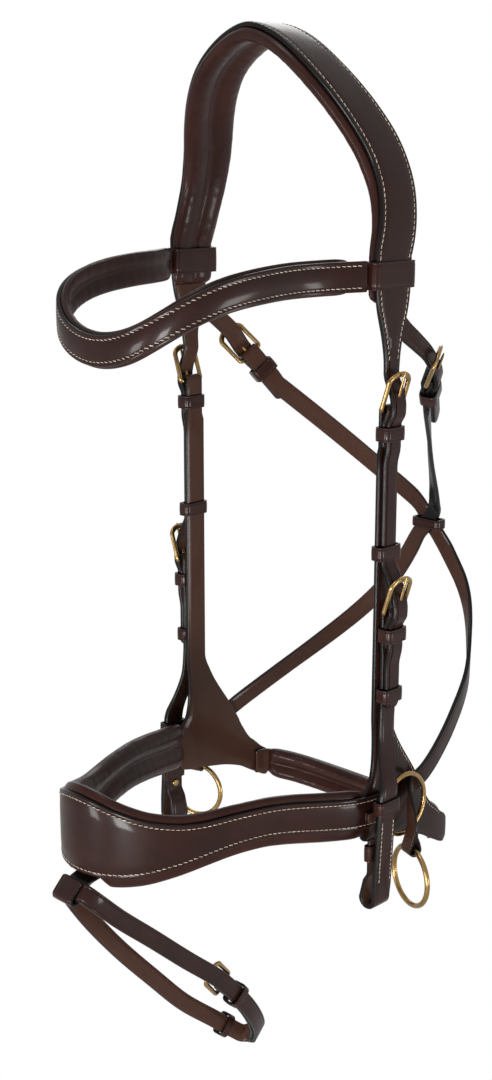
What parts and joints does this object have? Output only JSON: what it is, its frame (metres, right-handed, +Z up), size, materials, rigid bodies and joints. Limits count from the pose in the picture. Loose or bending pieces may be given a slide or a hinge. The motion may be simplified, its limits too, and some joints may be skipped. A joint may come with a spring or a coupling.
{
  "type": "horse bridle",
  "caption": "Leather horse bridle without reins or bit, with a padded crown, a waved browband, a padded noseband with a hanging flash strap, and jaw straps crossing behind the cheeks.",
  "frame": {"origin": "middle of the crown at the top of its padded underside, where the headpiece lies on the horse's poll", "axes": "+X to the side that the picture shows nearer, -Y forward to the forehead and nose, +Z up"},
  "size_m": [0.247, 0.3568, 0.6931],
  "materials": {
    "bridle_leather": "satin dark brown bridle leather with black painted edges and cream stitching",
    "loop_leather": "satin dark brown creased leather of loops and keepers",
    "pad_leather": "soft brown lining leather over padding",
    "brass": "satin antique brass"
  },
  "bodies": {
    "bridle": {"bit_keeper_far": "loop_leather", "bit_keeper_near": "loop_leather", "cheek_buckle_far": "brass", "cheek_buckle_near": "brass", "cheek_keeper_far": "loop_leather", "cheek_keeper_near": "loop_leather", "cheekpiece_far": "bridle_leather", "cheekpiece_near": "bridle_leather", "chin_pad": "pad_leather", "chin_strap": "bridle_leather", "cross_buckle_far": "brass", "cross_buckle_near": "brass", "cross_keeper_far": "loop_leather", "cross_keeper_near": "loop_leather", "cross_strap_far": "bridle_leather", "cross_strap_near": "bridle_leather", "crossing_loop": "loop_leather", "flash_buckle": "brass", "flash_keeper": "loop_leather", "flash_loop": "loop_leather", "flash_runner": "loop_leather", "flash_strap": "bridle_leather", "hanger_buckle_far": "brass", "hanger_buckle_near": "brass", "hanger_keeper_far": "loop_leather", "hanger_keeper_near": "loop_leather", "headpiece_leather": "bridle_leather", "headpiece_pad": "pad_leather", "hook_stud_far": "brass", "hook_stud_near": "brass", "low_keeper_far": "loop_leather", "low_keeper_near": "loop_leather", "noseband_hanger_far": "bridle_leather", "noseband_hanger_near": "bridle_leather", "noseband_leather": "bridle_leather", "noseband_pad": "pad_leather", "rear_billet_far": "bridle_leather", "rear_billet_near": "bridle_leather", "ring_chape_far": "bridle_leather", "ring_chape_near": "bridle_leather"},
    "browband": {"browband_leather": "bridle_leather", "browband_pad": "pad_leather", "browband_loop_near": "loop_leather", "browband_loop_far": "loop_leather"},
    "hanger_tongue_near": {"hanger_tongue_near": "brass"},
    "hanger_tongue_far": {"hanger_tongue_far": "brass"},
    "cheek_tongue_near": {"cheek_tongue_near": "brass"},
    "cheek_tongue_far": {"cheek_tongue_far": "brass"},
    "cross_tongue_near": {"cross_tongue_near": "brass"},
    "cross_tongue_far": {"cross_tongue_far": "brass"},
    "flash_tongue": {"flash_tongue": "brass"},
    "side_ring_near": {"side_ring_near": "brass"},
    "side_ring_far": {"side_ring_far": "brass"},
    "rein_ring_near": {"rein_ring_near": "brass"},
    "rein_ring_far": {"rein_ring_far": "brass"},
    "hanger_runner_near": {"hanger_runner_near": "loop_leather"},
    "hanger_runner_far": {"hanger_runner_far": "loop_leather"},
    "cheek_runner_near": {"cheek_runner_near": "loop_leather"},
    "cheek_runner_far": {"cheek_runner_far": "loop_leather"}
  },
  "joints": [
    {"name": "hanger_tongue_near_swing", "type": "hinge", "parent": "bridle", "child": "hanger_tongue_near", "pos_m": [0.0894, -0.002, -0.222], "axis": [0, 1, 0], "range_deg": [0, 5]},
    {"name": "cheek_tongue_near_swing", "type": "hinge", "parent": "bridle", "child": "cheek_tongue_near", "pos_m": [0.0946, -0.002, -0.35], "axis": [0, 1, 0], "range_deg": [0, 5]},
    {"name": "cross_tongue_near_swing", "type": "hinge", "parent": "bridle", "child": "cross_tongue_near", "pos_m": [0.08, 0.047, -0.2075], "axis": [-0.2681, 0.722, 0.6379], "range_deg": [0, 5]},
    {"name": "hanger_tongue_far_swing", "type": "hinge", "parent": "bridle", "child": "hanger_tongue_far", "pos_m": [-0.0894, -0.002, -0.222], "axis": [0, -1, 0], "range_deg": [0, 5]},
    {"name": "cheek_tongue_far_swing", "type": "hinge", "parent": "bridle", "child": "cheek_tongue_far", "pos_m": [-0.0946, -0.002, -0.35], "axis": [0, -1, 0], "range_deg": [0, 5]},
    {"name": "cross_tongue_far_swing", "type": "hinge", "parent": "bridle", "child": "cross_tongue_far", "pos_m": [-0.08, 0.047, -0.2075], "axis": [-0.2681, -0.722, -0.6379], "range_deg": [0, 5]},
    {"name": "flash_tongue_swing", "type": "hinge", "parent": "bridle", "child": "flash_tongue", "pos_m": [0.01045, -0.0712, -0.61591], "axis": [0.0021, -0.7423, -0.6701], "range_deg": [0, 70]},
    {"name": "side_ring_near_turn", "type": "hinge", "parent": "bridle", "child": "side_ring_near", "pos_m": [0.0951, -0.0065, -0.485], "axis": [0, 0, -1], "range_deg": [-2, 2]},
    {"name": "rein_ring_near_swing", "type": "hinge", "parent": "bridle", "child": "rein_ring_near", "pos_m": [0.10275, 0.013, -0.5135], "axis": [0.9511, -0.309, 0], "range_deg": [-20, 50]},
    {"name": "hanger_runner_near_slide", "type": "slide", "parent": "bridle", "child": "hanger_runner_near", "axis": [0, 0, 1], "range_m": [0, 0.045]},
    {"name": "cheek_runner_near_slide", "type": "slide", "parent": "bridle", "child": "cheek_runner_near", "axis": [0, 0, 1], "range_m": [0, 0.014]},
    {"name": "side_ring_far_turn", "type": "hinge", "parent": "bridle", "child": "side_ring_far", "pos_m": [-0.0951, -0.0065, -0.485], "axis": [0, 0, 1], "range_deg": [-2, 2]},
    {"name": "rein_ring_far_swing", "type": "hinge", "parent": "bridle", "child": "rein_ring_far", "pos_m": [-0.10275, 0.013, -0.5135], "axis": [0.9511, 0.309, 0], "range_deg": [-20, 50]},
    {"name": "hanger_runner_far_slide", "type": "slide", "parent": "bridle", "child": "hanger_runner_far", "axis": [0, 0, 1], "range_m": [0, 0.045]},
    {"name": "cheek_runner_far_slide", "type": "slide", "parent": "bridle", "child": "cheek_runner_far", "axis": [0, 0, 1], "range_m": [0, 0.014]},
    {"name": "browband_slide", "type": "slide", "parent": "bridle", "child": "browband", "axis": [0, 0, 1], "range_m": [-0.007, 0]}
  ]
}
